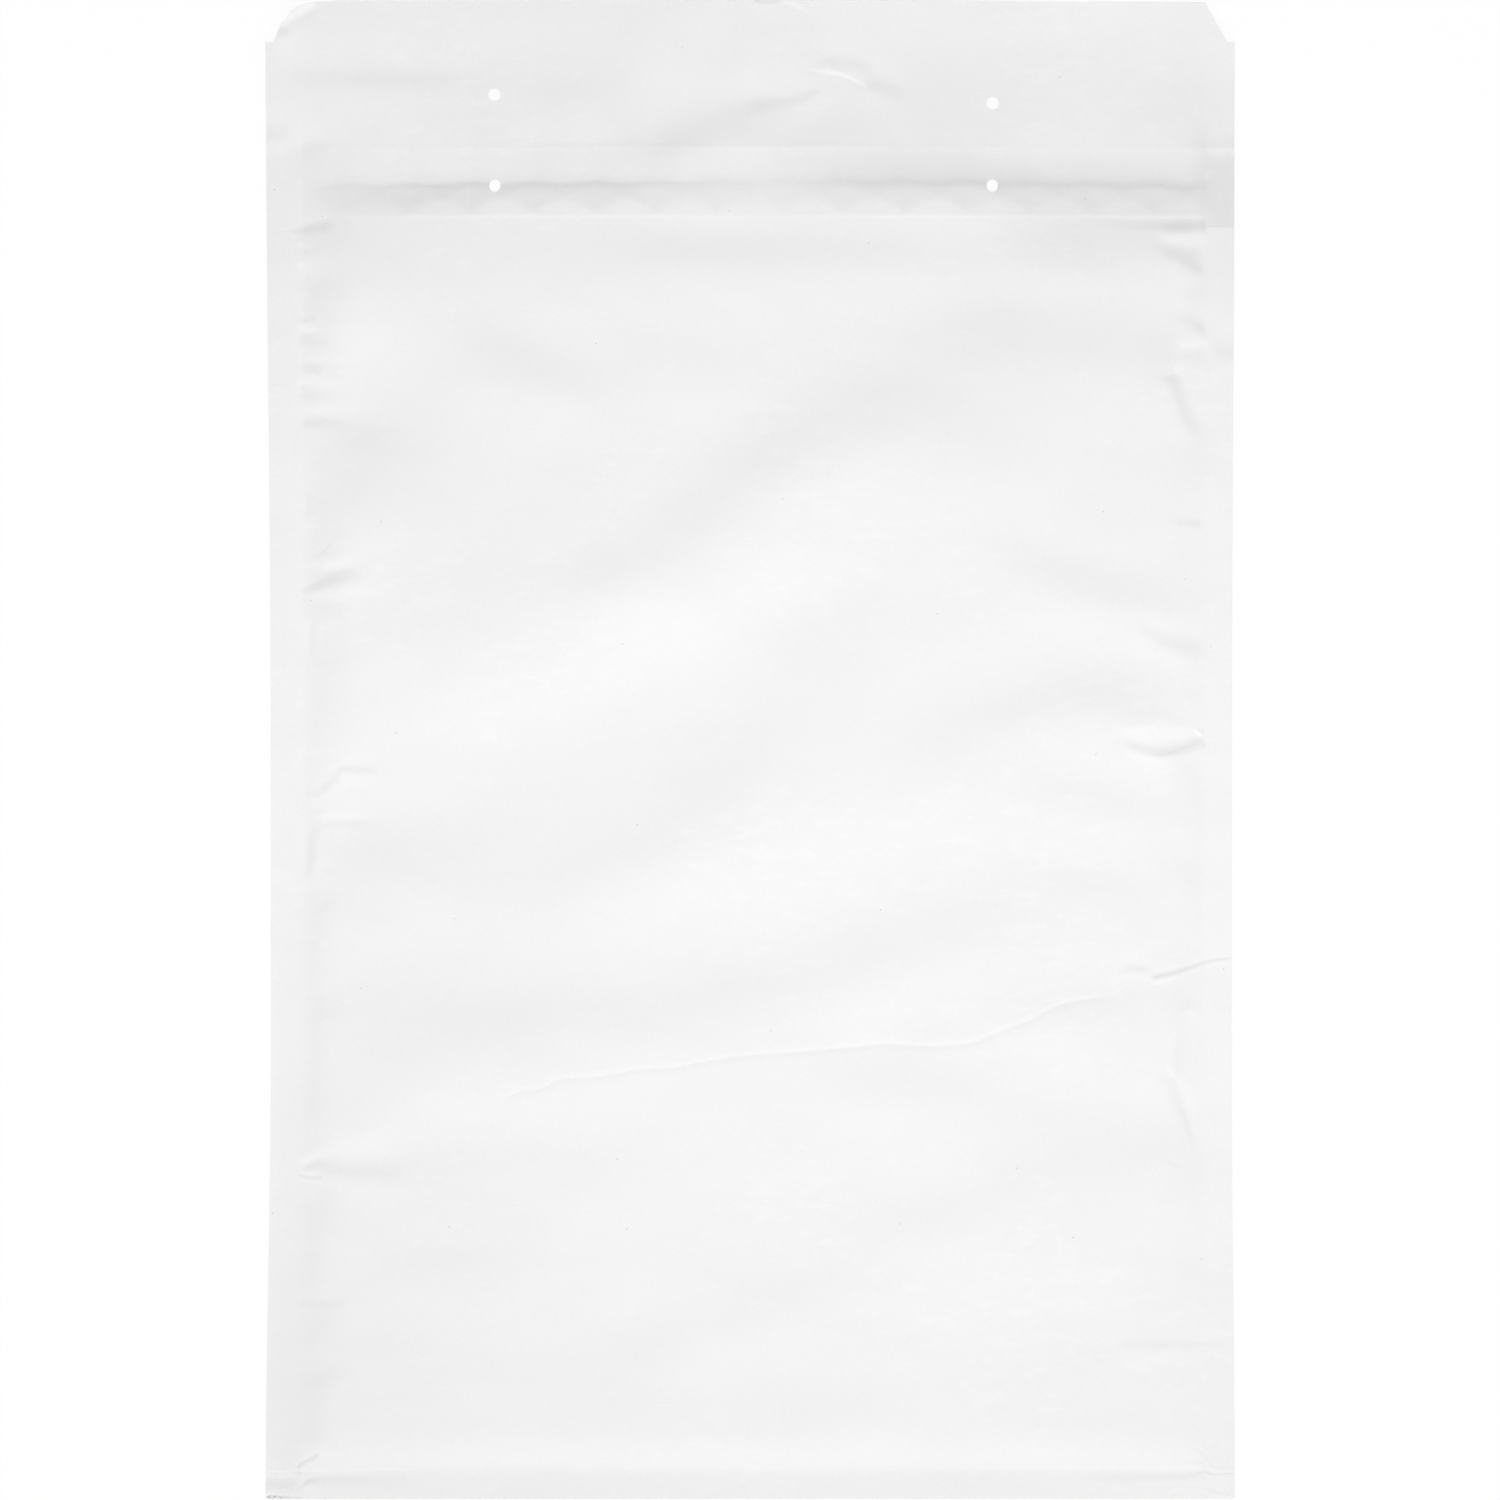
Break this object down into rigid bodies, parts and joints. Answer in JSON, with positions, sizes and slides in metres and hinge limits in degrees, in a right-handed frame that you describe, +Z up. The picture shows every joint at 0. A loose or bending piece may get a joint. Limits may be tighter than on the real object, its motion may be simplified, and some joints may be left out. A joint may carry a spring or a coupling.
{
  "type": "padded envelope",
  "caption": "Flat padded mailing envelope of white paper with a bubble film lining, side seams, punched holes and an open flap with a peel-off adhesive strip.",
  "frame": {"origin": "on the surface that the envelope lies on, under the middle of its outline", "axes": "+Z up, out of the address side; +Y along the length, from the bottom fold to the flap's free edge; X across the width"},
  "size_m": [0.32, 0.4957, 0.0129],
  "materials": {
    "kraft_paper": "matte, uncoated white kraft",
    "bubble_film": "clear polyethylene film",
    "adhesive": "tacky hot-melt adhesive",
    "liner_paper": "silicone-coated, slightly glossy"
  },
  "bodies": {
    "root": {"paper_envelope": "kraft_paper", "bubble_lining": "bubble_film", "adhesive_strip": "adhesive", "release_liner": "liner_paper"}
  },
  "joints": []
}
